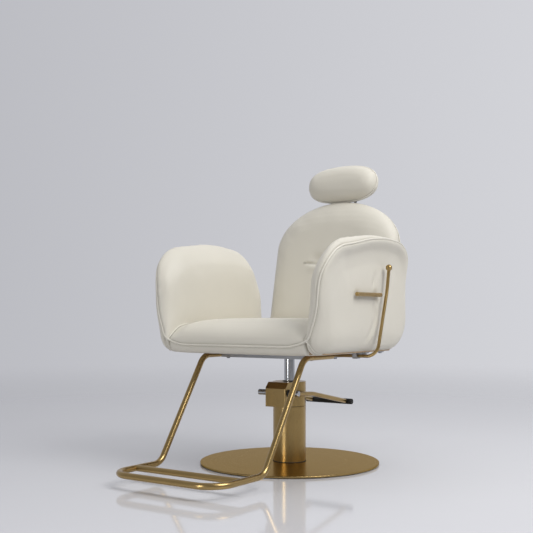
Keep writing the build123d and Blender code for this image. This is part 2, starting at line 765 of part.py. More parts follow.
with BuildPart() as spring_rod:
    rod_along_y(CYLINDER_END - 80, PIVOT_Y - 6, SPRING_X, SPRING_Z, SPRING_ROD_R)
    bar_along_x(SPRING_X - EYE_HALF, SPRING_X + EYE_HALF, PIVOT_Y, SPRING_Z, 9)
    bar_along_x(SPRING_X - 6, SPRING_X + 6, PIVOT_Y, SPRING_Z, 3 + OPEN_PIVOT_GAP, mode=Mode.SUBTRACT)
write_piece(spring_rod, "spring_rod")

with BuildPart() as spring_anchor:
    for x_from in (SPRING_X - 14, SPRING_X + 10):
        block(
            (x_from, x_from + 4),
            (SPRING_FRONT - 8, SPRING_FRONT + 8),
            (FRAME_BOTTOM - 1, FRAME_TOP - PLATE_T),
        )
    bar_along_x(SPRING_X - 14, SPRING_X + 14, SPRING_FRONT, SPRING_Z, 3)
write_piece(spring_anchor, "spring_anchor")


# ---- backrest -----------------------------------------------------------------------------------------
def back_outline(inset=0.0):
    """The back's arched outline in its own plane: straight sides under half an ellipse."""
    half_w = BACK_HALF_W - inset
    rise = BACK_CROWN - BACK_SHOULDER - inset
    low = BACK_LOW + inset
    corner = 45.0
    with BuildLine() as outline:
        EllipticalCenterArc((0, BACK_SHOULDER), half_w, rise, start_angle=0, arc_size=180)
        FilletPolyline(
            (-half_w, BACK_SHOULDER),
            (-half_w, low),
            (half_w, low),
            (half_w, BACK_SHOULDER),
            radius=corner,
        )
    make_face(outline.edges())


with BuildPart() as back_cushion:
    with BuildSketch(BACK_PLANE):
        back_outline()
    extrude(amount=BACK_FRONT_T)
    front_face = back_cushion.faces().filter_by(BACK_PLANE).sort_by(OUT_OF_BACK)[-1]
    fillet(front_face.edges(), 26)
    add(bracket_screws.part, mode=Mode.SUBTRACT)
write_piece(back_cushion, "back_cushion")

GUIDE_LOW = 345.0
GUIDE_TOP = 425.0

with BuildPart() as headrest_guides:
    for _, sign in SIDES:
        back_block(
            (sign * HEAD_ROD_X - 12, sign * HEAD_ROD_X + 12),
            (GUIDE_LOW, GUIDE_TOP),
            (-BACK_BOARD_T - 21, -BACK_BOARD_T),
        )
    back_rods((GUIDE_LOW - 5, GUIDE_TOP + 5), HEAD_ROD_R + FIT, mode=Mode.SUBTRACT)
write_piece(headrest_guides, "headrest_guides")

with BuildPart() as back_board:
    with BuildSketch(BACK_PLANE.offset(-BACK_BOARD_T)):
        back_outline(inset=14.0)
    extrude(amount=BACK_BOARD_T)
    add(bracket_screws.part, mode=Mode.SUBTRACT)
write_piece(back_board, "back_board")

with BuildPart() as back_rear_pad:
    with BuildSketch(BACK_PLANE.offset(-BACK_BOARD_T - BACK_REAR_T)):
        back_outline()
    extrude(amount=BACK_BOARD_T + BACK_REAR_T)
    rear_face = back_rear_pad.faces().filter_by(BACK_PLANE).sort_by(OUT_OF_BACK)[0]
    fillet(rear_face.edges(), 24)
    with BuildSketch(BACK_PLANE.offset(-BACK_BOARD_T)):
        back_outline(inset=14.0)
    extrude(amount=BACK_BOARD_T, mode=Mode.SUBTRACT)
    for _, sign in SIDES:
        back_block(
            (sign * HEAD_ROD_X - 12, sign * HEAD_ROD_X + 12),
            (280, GUIDE_TOP),
            (-BACK_BOARD_T - 21, -BACK_BOARD_T),
            mode=Mode.SUBTRACT,
        )
        screw_from = min(sign * 138, sign * 152)
        back_block(
            (screw_from, screw_from + 14),
            (-8, 108),
            (-BACK_BOARD_T - 9, -BACK_BOARD_T),
            mode=Mode.SUBTRACT,
        )
    back_rods((GUIDE_TOP, BACK_CROWN + 10), HEAD_ROD_R + 1, mode=Mode.SUBTRACT)
    add(back_brackets.part, mode=Mode.SUBTRACT)
write_piece(back_rear_pad, "back_rear_pad")

# ---- headrest -----------------------------------------------------------------------------------------
ROD_LOW = 300.0
ROD_HIGH = 500.0

with BuildPart() as headrest_rods:
    back_rods((ROD_LOW, ROD_HIGH), HEAD_ROD_R)
write_piece(headrest_rods, "headrest_rods")

with BuildPart() as headrest_board:
    with BuildSketch(BACK_PLANE.offset(HEAD_ROD_DEPTH - 8)):
        with Locations((0, PILLOW_MID)):
            Ellipse(112, 46)
    extrude(amount=16)
    add(headrest_rods.part, mode=Mode.SUBTRACT)
write_piece(headrest_board, "headrest_board")

with BuildPart() as headrest_pillow:
    with BuildSketch(BACK_PLANE.offset(-PILLOW_HALF_T)):
        with Locations((0, PILLOW_MID)):
            Ellipse(PILLOW_HALF_W, PILLOW_HALF_H)
    extrude(amount=2 * PILLOW_HALF_T)
    fillet(headrest_pillow.edges(), 26)
    with BuildSketch(BACK_PLANE.offset(HEAD_ROD_DEPTH - 8)):
        with Locations((0, PILLOW_MID)):
            Ellipse(112, 46)
    extrude(amount=16, mode=Mode.SUBTRACT)
    back_rods((PILLOW_MID - 80, ROD_HIGH), HEAD_ROD_R, mode=Mode.SUBTRACT)
write_piece(headrest_pillow, "headrest_pillow")
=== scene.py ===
"""Styling chair: leather upholstery, metal finishes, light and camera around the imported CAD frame.

Metres, +Z up. The sitter faces -Y, and "left" is the sitter's left, +X.
"""

import json
import math

import bmesh
import bpy
import numpy as np
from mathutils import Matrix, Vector
from mathutils.bvhtree import BVHTree


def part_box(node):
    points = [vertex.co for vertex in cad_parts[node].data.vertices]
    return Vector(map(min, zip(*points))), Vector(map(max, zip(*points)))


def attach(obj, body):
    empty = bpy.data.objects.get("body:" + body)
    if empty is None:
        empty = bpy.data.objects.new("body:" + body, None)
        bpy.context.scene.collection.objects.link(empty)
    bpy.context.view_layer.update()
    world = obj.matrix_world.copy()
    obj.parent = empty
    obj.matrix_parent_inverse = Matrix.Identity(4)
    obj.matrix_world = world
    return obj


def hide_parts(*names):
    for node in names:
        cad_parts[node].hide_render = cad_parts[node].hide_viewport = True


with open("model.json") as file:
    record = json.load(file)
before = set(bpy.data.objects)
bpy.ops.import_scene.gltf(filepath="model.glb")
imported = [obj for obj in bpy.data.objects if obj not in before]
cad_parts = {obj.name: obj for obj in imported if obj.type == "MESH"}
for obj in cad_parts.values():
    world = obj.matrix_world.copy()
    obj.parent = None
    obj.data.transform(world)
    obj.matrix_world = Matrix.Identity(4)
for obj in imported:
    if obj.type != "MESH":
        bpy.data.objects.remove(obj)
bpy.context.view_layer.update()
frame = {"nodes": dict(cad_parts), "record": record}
nodes = frame["nodes"]

# ---- driving sizes --------------------------------------------------------------------------------
VOXEL = 0.006  # edge of the remeshed faces before the cushions swell
OUTLINE_STEP = 0.008  # spacing of the points round a pad's outline
PIPING_R = 0.0029  # covered cord along the arms' rim and the seat's front
FINE_PIPING_R = 0.0024  # covered cord round the back and the headrest, and under the arms
PIPING_LIFT = 0.0006  # how far the fine cord stands out of its seam
CORD_SIDES = 12
CORD_STEP = 0.006  # spacing of the points along the tub's cords
BACK_LEAN = math.radians(11.0)  # the back's lean from upright
SIM_FRAMES = 20  # steps of the cushions' filling
PRESSURE = 4.0  # of the filling
TAUT_ROUNDS = 26  # how often the filling is evened out: tightly stretched leather shows no small wrinkles


# ---- numbers into shapes --------------------------------------------------------------------------
def smoothstep(value, low, high):
    """0 below low, 1 above high, and a smooth rise between."""
    t = np.clip((np.asarray(value, float) - low) / (high - low), 0, 1)
    return t * t * (3 - 2 * t)


def resample(points, step, closed):
    """The same line with evenly spaced points."""
    points = np.asarray(points, float)
    if closed:
        points = np.vstack([points, points[:1]])
    run = np.concatenate([[0], np.cumsum(np.linalg.norm(np.diff(points, axis=0), axis=1))])
    count = max(8, round(run[-1] / step))
    at = np.linspace(0, run[-1], count + (not closed), endpoint=not closed)
    return np.stack([np.interp(at, run, points[:, k]) for k in range(points.shape[1])], 1)


def rounded_outline(corners, radii, step=OUTLINE_STEP):
    """A closed outline through straight sides and round corners, as evenly spaced points."""
    corners = [np.array(c, float) for c in corners]
    line = []
    for k, corner in enumerate(corners):
        to_last = corners[k - 1] - corner
        to_next = corners[(k + 1) % len(corners)] - corner
        to_last /= np.linalg.norm(to_last)
        to_next /= np.linalg.norm(to_next)
        half = math.acos(np.clip(to_last @ to_next, -1, 1)) / 2
        middle = to_last + to_next
        centre = corner + middle / np.linalg.norm(middle) * radii[k] / math.sin(half)
        start = corner + to_last * radii[k] / math.tan(half) - centre
        end = corner + to_next * radii[k] / math.tan(half) - centre
        turn = math.atan2(start[0] * end[1] - start[1] * end[0], start @ end)
        for share in np.linspace(0, 1, 16):
            a = turn * share
            c, s = math.cos(a), math.sin(a)
            line.append(centre + [start[0] * c - start[1] * s, start[0] * s + start[1] * c])
    return resample(line, step, closed=True)


def through(points, per_span):
    """A smooth line (Catmull-Rom) through the rows of points; keeps every given point."""
    points = np.asarray(points, float)
    padded = np.concatenate([2 * points[:1] - points[1:2], points, 2 * points[-1:] - points[-2:-1]])
    rows = []
    for k in range(len(points) - 1):
        a, b, c, d = padded[k : k + 4]
        for t in np.arange(per_span) / per_span:
            square = 2 * a - 5 * b + 4 * c - d
            cube = 3 * b - a - 3 * c + d
            rows.append(0.5 * (2 * b + (c - a) * t + square * t**2 + cube * t**3))
    rows.append(points[-1])
    return np.array(rows)


# ---- meshes ---------------------------------------------------------------------------------------
def new_mesh(name, verts, faces):
    mesh = bpy.data.meshes.new(name)
    mesh.from_pydata([tuple(v) for v in verts], [], faces)
    mesh.polygons.foreach_set("use_smooth", [True] * len(mesh.polygons))
    obj = bpy.data.objects.new(name, mesh)
    bpy.context.scene.collection.objects.link(obj)
    return obj


def facing_outward(obj):
    """The closed mesh with every face turned outward."""
    bm = bmesh.new()
    bm.from_mesh(obj.data)
    bmesh.ops.recalc_face_normals(bm, faces=bm.faces)
    bm.to_mesh(obj.data)
    bm.free()
    return obj


def vertices_of(obj):
    co = np.empty(len(obj.data.vertices) * 3)
    obj.data.vertices.foreach_get("co", co)
    return co.reshape(-1, 3)


def normals_of(obj):
    no = np.empty(len(obj.data.vertices) * 3)
    obj.data.vertex_normals.foreach_get("vector", no)
    return no.reshape(-1, 3)


def move_vertices(obj, co):
    obj.data.vertices.foreach_set("co", np.asarray(co, np.float32).ravel())
    obj.data.update()


def apply_modifiers(obj):
    """Bakes the modifiers into the mesh."""
    evaluated = obj.evaluated_get(bpy.context.evaluated_depsgraph_get())
    mesh = bpy.data.meshes.new_from_object(evaluated)
    obj.modifiers.clear()
    obj.data = mesh


def tube(name, points, radius, closed=False, taper=0.0):
    """A round cord along a line of points; with taper, its ends narrow over that length."""
    sides = CORD_SIDES
    points = np.asarray(points, float)
    ahead = np.roll(points, -1, 0) - np.roll(points, 1, 0)
    if not closed:
        ahead[0], ahead[-1] = points[1] - points[0], points[-1] - points[-2]
    ahead /= np.linalg.norm(ahead, axis=1)[:, None]
    side = np.cross(ahead[0], [0.31, 0.17, 0.93])
    run = np.concatenate([[0], np.cumsum(np.linalg.norm(np.diff(points, axis=0), axis=1))])
    verts, faces = [], []
    for k, (p, d) in enumerate(zip(points, ahead)):
        side = side - (side @ d) * d
        side /= np.linalg.norm(side)
        other = np.cross(d, side)
        r = radius
        if taper and not closed:
            r *= math.sqrt(np.clip(min(run[k], run[-1] - run[k]) / taper, 0.02, 1))
        for j in range(sides):
            a = 2 * math.pi * j / sides
            verts.append(p + r * (math.cos(a) * side + math.sin(a) * other))
    rings = len(points)
    for k in range(rings if closed else rings - 1):
        for j in range(sides):
            a, b = k * sides + j, k * sides + (j + 1) % sides
            c, d = (k + 1) % rings * sides + j, (k + 1) % rings * sides + (j + 1) % sides
            faces.append((a, b, d, c))
    if not closed:
        faces.append(tuple(range(sides))[::-1])
        faces.append(tuple((rings - 1) * sides + j for j in range(sides)))
    return new_mesh(name, verts, faces)


class Pad:
    """A padded form: cross-sections from one face, over the edge, to the other face, set round an outline.

    The outline lies in two directions, u and v, and the pad's thickness in w. A section is a list of
    (w, depth) points, where depth is how far inside the outline a point lies. Every section has the
    same number of points, and point number `seam` of each makes the seam line.
    """

    def __init__(self, outline, spine, stations, seam, place, middle=(None, None), blend=4):
        self.outline = outline
        self.place = place
        self.seam = seam
        self.middle = middle
        spine_a, spine_b = (np.array(p, float) for p in spine)
        along = spine_b - spine_a
        share = np.clip((outline - spine_a) @ along / (along @ along), 0, 1)
        self.inward = spine_a + share[:, None] * along - outline
        self.reach = np.linalg.norm(self.inward, axis=1)
        self.inward /= self.reach[:, None]
        self.sections = self._sections(stations, blend)

    def nearest(self, u, v):
        """The number of the outline point nearest to a place."""
        return int(np.argmin(np.linalg.norm(self.outline - [u, v], axis=1)))

    def _sections(self, stations, blend):
        """The section at every outline point, changing smoothly from one station to the next."""
        count = len(self.outline)
        at = sorted((self.nearest(u, v), np.array(section, float)) for (u, v), section in stations)
        at = [(at[-1][0] - count, at[-1][1]), *at, (at[0][0] + count, at[0][1])]
        sections = []
        for k in range(count):
            for (start, a), (end, b) in zip(at, at[1:]):
                if start <= k < end:
                    share = smoothstep(k, start, end)
                    sections.append(a * (1 - share) + b * share)
                    break
        sections = np.array(sections)
        for _ in range(blend):
            sections = (np.roll(sections, 1, 0) + 2 * sections + np.roll(sections, -1, 0)) / 4
        return sections

    def seam_line(self, lift=0.0):
        """The seam all round, as points in the chair's frame, standing out of the outline by lift."""
        w, depth = self.sections[:, self.seam].T
        uv = self.outline + self.inward * (depth - lift)[:, None]
        return self.place(uv[:, 0], uv[:, 1], w)

    @staticmethod
    def face_rows(end, reach, middle):
        """The rest of one face, as (w, depth) rows from a section's end to middle at the spine."""
        share = np.array([0.12, 0.25, 0.40, 0.56, 0.72, 0.86, 0.97])
        w = end[0] + (middle - end[0]) * (1 - (1 - share) ** 2)
        return np.stack([w, end[1] + (reach - end[1]) * share], 1)

    def build(self, name, per_span=4):
        """The pad as a closed mesh."""
        ends = self.sections[:, 0, 0].mean(), self.sections[:, -1, 0].mean()
        middle = [given if given is not None else end for given, end in zip(self.middle, ends)]
        rings = []
        for point, inward, reach, section in zip(self.outline, self.inward, self.reach, self.sections):
            fine = through(section, per_span)
            first = self.face_rows(fine[0], reach, middle[0])[::-1]
            last = self.face_rows(fine[-1], reach, middle[1])
            rows = np.concatenate([first, fine, last])
            uv = point + inward * rows[:, 1:2]
            rings.append(self.place(uv[:, 0], uv[:, 1], rows[:, 0]))
        rings = np.array(rings)
        count, depth = rings.shape[:2]
        faces = [
            (k * depth + j, k * depth + j + 1, (k + 1) % count * depth + j + 1, (k + 1) % count * depth + j)
            for k in range(count)
            for j in range(depth - 1)
        ]
        faces.append(tuple(k * depth for k in range(count)))
        faces.append(tuple(k * depth + depth - 1 for k in reversed(range(count))))
        return facing_outward(new_mesh(name, rings.reshape(-1, 3), faces))


BATCH = 2000  # vertices measured at a time


def distance_to(co, line):
    """How far each vertex is from the nearest point of a line."""
    line = np.asarray(line, float)
    parts = np.array_split(co, max(1, len(co) // BATCH))
    return np.concatenate([np.sqrt(((part[:, None] - line[None]) ** 2).sum(2).min(1)) for part in parts])


def held_along(co, line, width):
    """How firmly a seam holds each vertex: fully at the line, less and less over width."""
    return np.exp(-((distance_to(co, line) / width) ** 2)) * 1.4


def swell(obj, pinned, cap, voxel=VOXEL):
    """Remeshes a pad evenly, lets it fill like an upholstered cushion and subdivides it.

    pinned takes the vertices and gives 1 where the cover is held and 0 where it is free. No point moves
    further than cap.
    """
    remesh = obj.modifiers.new("remesh", "REMESH")
    remesh.mode = "VOXEL"
    remesh.voxel_size = voxel
    apply_modifiers(obj)
    rest = vertices_of(obj)
    held = np.clip(pinned(rest), 0, 1)
    group = obj.vertex_groups.new(name="held")
    for k, weight in enumerate(held):
        if weight > 0.02:
            group.add([k], float(weight), "REPLACE")
    cloth = obj.modifiers.new("cloth", "CLOTH")
    settings = cloth.settings
    settings.quality = 5
    settings.mass = 0.3
    settings.tension_stiffness = 25
    settings.compression_stiffness = 25
    settings.shear_stiffness = 15
    settings.bending_stiffness = 6
    settings.air_damping = 2
    settings.use_pressure = True
    settings.uniform_pressure_force = PRESSURE
    settings.effector_weights.gravity = 0
    settings.vertex_group_mass = "held"
    cloth.collision_settings.use_collision = False
    cloth.point_cache.frame_start = 1
    cloth.point_cache.frame_end = SIM_FRAMES
    for step in range(1, SIM_FRAMES + 1):
        bpy.context.scene.frame_set(step)
    evaluated = obj.evaluated_get(bpy.context.evaluated_depsgraph_get())
    filled = vertices_of(evaluated)
    obj.modifiers.clear()
    bpy.context.scene.frame_set(1)
    move = filled - rest
    length = np.linalg.norm(move, axis=1)
    move *= (cap * np.tanh(length / cap) / np.maximum(length, 1e-9))[:, None]
    move = evened(obj, move, TAUT_ROUNDS) * (1 - held)[:, None]
    move_vertices(obj, rest + move)
    relax(obj)
    subdivide = obj.modifiers.new("subdivide", "SUBSURF")
    subdivide.levels = subdivide.render_levels = 1
    apply_modifiers(obj)
    obj.data.polygons.foreach_set("use_smooth", [True] * len(obj.data.polygons))
    return obj


def evened(obj, values, rounds):
    """Values at a mesh's vertices, averaged with their neighbours' over and over."""
    ends = np.empty(len(obj.data.edges) * 2, int)
    obj.data.edges.foreach_get("vertices", ends)
    a, b = ends.reshape(-1, 2).T
    count = np.bincount(np.concatenate([a, b]), minlength=len(values))[:, None]
    for _ in range(rounds):
        total = np.zeros_like(values)
        np.add.at(total, a, values[b])
        np.add.at(total, b, values[a])
        values = (values + total / count) / 2
    return values


def relax(obj):
    """Smooths the remesh's small steps."""
    smooth = obj.modifiers.new("relax", "SMOOTH")
    smooth.factor = 0.5
    smooth.iterations = 3
    apply_modifiers(obj)


def press(obj, line, width, depth, ends=0.0, facing=None):
    """Presses a soft groove into the surface along a line, or raises a ridge for a depth below 0.

    With ends, the groove dies away over that length at both of its ends. With facing, only the side of the
    pad that looks that way is pressed.
    """
    line = np.asarray(line, float)
    co = vertices_of(obj)
    no = normals_of(obj)
    lo, hi = line.min(0) - 3 * width, line.max(0) + 3 * width
    near = np.where(((co > lo) & (co < hi)).all(1))[0]
    if facing is not None:
        near = near[no[near] @ np.array(facing, float) > 0.1]
    if not len(near):
        return
    run = np.concatenate([[0], np.cumsum(np.linalg.norm(np.diff(line, axis=0), axis=1))])
    share = np.ones(len(line))
    if ends:
        share = smoothstep(np.minimum(run, run[-1] - run), -1e-6, ends)
    gaps = np.linalg.norm(co[near][:, None] - line[None], axis=2)
    closest = gaps.argmin(1)
    amount = depth * share[closest] * np.exp(-((gaps.min(1) / width) ** 2))
    co[near] -= no[near] * amount[:, None]
    move_vertices(obj, co)


def add_painted_shade_attribute(obj, lines):
    """Marks how close each vertex is to a seam or fold, where the leather is given painted shade."""
    co = vertices_of(obj)
    value = np.zeros(len(co))
    for line, width in lines:
        value = np.maximum(value, np.exp(-((distance_to(co, line) / width) ** 2)))
    attribute = obj.data.attributes.new("painted_crease_shade", "FLOAT", "POINT")
    attribute.data.foreach_set("value", value.astype(np.float32))


def snap_to(obj, line, lift):
    """The line laid on a piece's surface, its centre standing out by lift."""
    co = vertices_of(obj)
    tree = BVHTree.FromPolygons([tuple(v) for v in co], [tuple(p.vertices) for p in obj.data.polygons])
    laid = []
    for p in line:
        hit, normal, _, _ = tree.find_nearest(Vector(p))
        laid.append(np.array(hit + normal * lift))
    return np.array(laid)


def smooth_line(points, rounds, closed=False):
    """The line with its points averaged with their neighbours over and over; open ends stay."""
    points = np.array(points, float)
    for _ in range(rounds):
        if closed:
            points = (np.roll(points, 1, 0) + 2 * points + np.roll(points, -1, 0)) / 4
        else:
            points[1:-1] = (points[:-2] + 2 * points[1:-1] + points[2:]) / 4
    return points


# ---- materials ------------------------------------------------------------------------------------
def new_material(name):
    material = bpy.data.materials.new(name)
    material.use_nodes = True
    tree = material.node_tree
    shader = next(n for n in tree.nodes if n.type == "BSDF_PRINCIPLED")
    return material, tree, shader


def node(tree, kind, inputs=None, **settings):
    made = tree.nodes.new(kind)
    for key, value in settings.items():
        setattr(made, key, value)
    for key, value in (inputs or {}).items():
        if isinstance(value, bpy.types.NodeSocket):
            tree.links.new(value, made.inputs[key])
        else:
            made.inputs[key].default_value = value
    return made


def noise(tree, place, scale, detail=2.0, roughness=0.5):
    inputs = {"Vector": place, "Scale": scale, "Detail": detail, "Roughness": roughness}
    return node(tree, "ShaderNodeTexNoise", inputs).outputs["Fac"]


def spread(tree, value, low, high):
    """A 0 to 1 value turned into the range low to high."""
    return node(tree, "ShaderNodeMapRange", {"Value": value, "To Min": low, "To Max": high}).outputs["Result"]


def rise(tree, value, start, end):
    """0 up to start, 1 from end on, and a straight rise between."""
    inputs = {"Value": value, "From Min": start, "From Max": end}
    return node(tree, "ShaderNodeMapRange", inputs).outputs["Result"]


def mix(tree, factor, a, b):
    """The colour between a and b."""
    made = node(tree, "ShaderNodeMix", data_type="RGBA")
    for name, kind, value in (("Factor", "VALUE", factor), ("A", "RGBA", a), ("B", "RGBA", b)):
        found = next(s for s in made.inputs if s.name == name and s.type == kind)
        if isinstance(value, bpy.types.NodeSocket):
            tree.links.new(value, found)
        else:
            found.default_value = value
    return next(s for s in made.outputs if s.type == "RGBA")


def scaled(colour, factor):
    return tuple(c * factor for c in colour[:3]) + (1,)


def add_relief(tree, shader, height, strength, distance):
    """Bumps the surface by a 0 to 1 height."""
    bump = node(tree, "ShaderNodeBump", {"Strength": strength, "Distance": distance, "Height": height})
    tree.links.new(bump.outputs["Normal"], shader.inputs["Normal"])


def leather(name, colour, crease_shade_colour, grain=0.00013, roughness=(0.42, 0.55)):
    """Soft pebbled leather: fine grain, slow tone changes, and painted shade in seams and folds."""
    material, tree, shader = new_material(name)
    place = node(tree, "ShaderNodeTexCoord").outputs["Object"]
    slow = noise(tree, place, 7.0, detail=3.0)
    tone = mix(tree, spread(tree, slow, -0.35, 1.35), scaled(colour, 0.955), colour)
    # Painted shade: the colour darkens towards the dark crease colour near seams, folds and the tuck.
    painted_crease_shade = node(tree, "ShaderNodeAttribute", attribute_name="painted_crease_shade").outputs["Fac"]
    tone = mix(tree, spread(tree, painted_crease_shade, 0.0, 0.80), tone, crease_shade_colour)
    tree.links.new(tone, shader.inputs["Base Color"])
    cells = node(tree, "ShaderNodeTexVoronoi", {"Vector": place, "Scale": 620.0}, feature="DISTANCE_TO_EDGE")
    fine = noise(tree, place, 1900.0, detail=2.0)
    shallow = {0: cells.outputs["Distance"], 1: 0.55}
    pebble = node(tree, "ShaderNodeMath", shallow, operation="MINIMUM").outputs[0]
    height = node(tree, "ShaderNodeMath", {0: pebble, 1: fine}, operation="ADD").outputs[0]
    bump = node(tree, "ShaderNodeBump", {"Strength": 0.35, "Distance": grain, "Height": height})
    soft = noise(tree, place, 26.0, detail=4.0)
    soft_inputs = {"Strength": 0.10, "Distance": 0.0010, "Height": soft, "Normal": bump.outputs["Normal"]}
    soft_bump = node(tree, "ShaderNodeBump", soft_inputs)
    tree.links.new(soft_bump.outputs["Normal"], shader.inputs["Normal"])
    patches = noise(tree, place, 55.0, detail=3.0)
    tree.links.new(spread(tree, patches, *roughness), shader.inputs["Roughness"])
    shader.inputs["Specular IOR Level"].default_value = 0.42
    shader.inputs["Sheen Weight"].default_value = 0.08
    shader.inputs["Sheen Roughness"].default_value = 0.6
    return material


def metal(name, colour, rough_low, rough_high, scratch, scratch_scale=500.0, bump=0.00002):
    """Brushed or polished metal: scratches in its roughness and relief, and faint tarnish in its tone.

    The scratches run along the direction in which scratch is smallest.
    """
    material, tree, shader = new_material(name)
    place = node(tree, "ShaderNodeTexCoord").outputs["Object"]
    stretched = node(tree, "ShaderNodeMapping", {"Vector": place, "Scale": scratch}).outputs["Vector"]
    lines = noise(tree, stretched, scratch_scale, detail=3.0)
    cloud = noise(tree, place, 18.0, detail=4.0)
    dark = scaled(colour, 0.86)
    tree.links.new(mix(tree, spread(tree, cloud, -0.2, 1.2), dark, colour), shader.inputs["Base Color"])
    tree.links.new(spread(tree, lines, rough_low, rough_high), shader.inputs["Roughness"])
    add_relief(tree, shader, lines, 0.3, bump)
    shader.inputs["Metallic"].default_value = 1.0
    return material


def ringed_metal(name, colour, rough_low, rough_high):
    """Metal turned on a lathe: fine rings round the column's axis."""
    material, tree, shader = new_material(name)
    place = node(tree, "ShaderNodeTexCoord").outputs["Object"]
    parts = node(tree, "ShaderNodeSeparateXYZ", {"Vector": place}).outputs
    flat = node(tree, "ShaderNodeCombineXYZ", {"X": parts["X"], "Y": parts["Y"]}).outputs["Vector"]
    radius = node(tree, "ShaderNodeVectorMath", {0: flat}, operation="LENGTH").outputs["Value"]
    ringed = node(tree, "ShaderNodeCombineXYZ", {"X": radius}).outputs["Vector"]
    lines = noise(tree, ringed, 2600.0, detail=3.0)
    cloud = noise(tree, place, 14.0, detail=4.0)
    dark = scaled(colour, 0.88)
    tree.links.new(mix(tree, spread(tree, cloud, -0.2, 1.2), dark, colour), shader.inputs["Base Color"])
    tree.links.new(spread(tree, lines, rough_low, rough_high), shader.inputs["Roughness"])
    add_relief(tree, shader, lines, 0.25, 0.00001)
    shader.inputs["Metallic"].default_value = 1.0
    shader.inputs["Specular Tint"].default_value = (0.72, 0.60, 0.40, 1)
    return material


def matte(name, colour, rough_low, rough_high, scale=900.0, bump=0.00008, coat=0.0):
    """Rubber, paint or plastic with a fine moulded texture."""
    material, tree, shader = new_material(name)
    place = node(tree, "ShaderNodeTexCoord").outputs["Object"]
    fine = noise(tree, place, scale, detail=3.0)
    cloud = noise(tree, place, 30.0, detail=3.0)
    light = tuple(min(1, c * 1.35 + 0.004) for c in colour[:3]) + (1,)
    tree.links.new(mix(tree, cloud, colour, light), shader.inputs["Base Color"])
    tree.links.new(spread(tree, fine, rough_low, rough_high), shader.inputs["Roughness"])
    add_relief(tree, shader, fine, 0.4, bump)
    shader.inputs["Coat Weight"].default_value = coat
    return material


def wood(name):
    """Birch plywood with long soft grain."""
    material, tree, shader = new_material(name)
    place = node(tree, "ShaderNodeTexCoord").outputs["Object"]
    stretched = node(tree, "ShaderNodeMapping", {"Vector": place, "Scale": (1.0, 12.0, 12.0)}).outputs["Vector"]
    grain = noise(tree, stretched, 14.0, detail=5.0, roughness=0.6)
    tone = mix(tree, spread(tree, grain, -0.4, 1.4), (0.36, 0.23, 0.12, 1), (0.62, 0.46, 0.29, 1))
    tree.links.new(tone, shader.inputs["Base Color"])
    tree.links.new(spread(tree, grain, 0.5, 0.75), shader.inputs["Roughness"])
    add_relief(tree, shader, grain, 0.3, 0.0003)
    return material


CREAM = (0.640, 0.610, 0.530, 1)
# Painted shade colour for the leather's seams, folds and tuck.
CREAM_CREASE_SHADE = (0.250, 0.225, 0.170, 1)
BRASS = (0.445, 0.310, 0.130, 1)

cream_leather = leather("cream_leather", CREAM, CREAM_CREASE_SHADE)
piping_leather = leather(
    "piping_leather", (0.700, 0.672, 0.590, 1), CREAM_CREASE_SHADE, grain=0.00008, roughness=(0.38, 0.48)
)
brushed_brass = metal(
    "brushed_brass", BRASS, 0.24, 0.34, scratch=(1.0, 1.0, 0.02), scratch_scale=2200.0, bump=0.000006
)
tube_brass = metal(
    "tube_brass", BRASS, 0.22, 0.32, scratch=(1.0, 0.1, 1.0), scratch_scale=1500.0, bump=0.000008
)
turned_brass = ringed_metal("turned_brass", BRASS, 0.20, 0.32)
bronze = metal("aged_bronze", (0.33, 0.20, 0.085, 1), 0.24, 0.40, scratch=(0.1, 1.0, 1.0))
steel = metal("zinc_steel", (0.42, 0.43, 0.45, 1), 0.28, 0.45, scratch=(0.1, 1.0, 1.0))
chrome = metal(
    "hard_chrome", (0.55, 0.56, 0.58, 1), 0.08, 0.16, scratch=(1.0, 1.0, 0.06), scratch_scale=900.0
)
black_steel = matte(
    "black_coated_steel", (0.012, 0.012, 0.013, 1), 0.30, 0.46, scale=1400.0, bump=0.00004, coat=0.15
)
rubber = matte("black_rubber", (0.016, 0.016, 0.016, 1), 0.55, 0.78, scale=700.0, bump=0.00012)
plastic = matte("black_plastic", (0.022, 0.022, 0.022, 1), 0.38, 0.55, scale=1100.0)
plywood = wood("birch_plywood")

FINISH = {
    "rubber": rubber,
    "brass": brushed_brass,
    "steel": steel,
    "polished_steel": chrome,
    "black_steel": black_steel,
    "bronze": bronze,
    "plywood": plywood,
    "plastic": plastic,
    "upholstery_foam": cream_leather,
    "leather": cream_leather,
}
NODE_FINISH = {
    "base_disc": turned_brass,
    "footrest_left_leg": tube_brass,
    "footrest_right_leg": tube_brass,
    "left_side_bar": tube_brass,
    "right_side_bar": tube_brass,
}


def paint(obj, material):
    obj.data.materials.clear()
    obj.data.materials.append(material)


slot_of = {part["node"]: part["material_slot"] for part in frame["record"]["subparts"]}
for name, obj in nodes.items():
    paint(obj, NODE_FINISH.get(name, FINISH[slot_of[name]]))


# ---- arms -----------------------------------------------------------------------------------------
arm_lo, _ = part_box("left_arm_pad")
ARM_IN = arm_lo.x
PANEL_X = ARM_IN + 0.066  # about where the outer panel lies
FRONT, FLOOR = arm_lo.y, arm_lo.z

# The side outline's corners, back from the front edge and up from the underside, and their radii.
ARM_CORNERS = [(0, -0.003), (-0.003, 0.336), (0.320, 0.377), (0.529, 0.352), (0.552, 0.190), (0.558, -0.003)]
ARM_RADII = [0.052, 0.138, 0.700, 0.105, 0.160, 0.104]

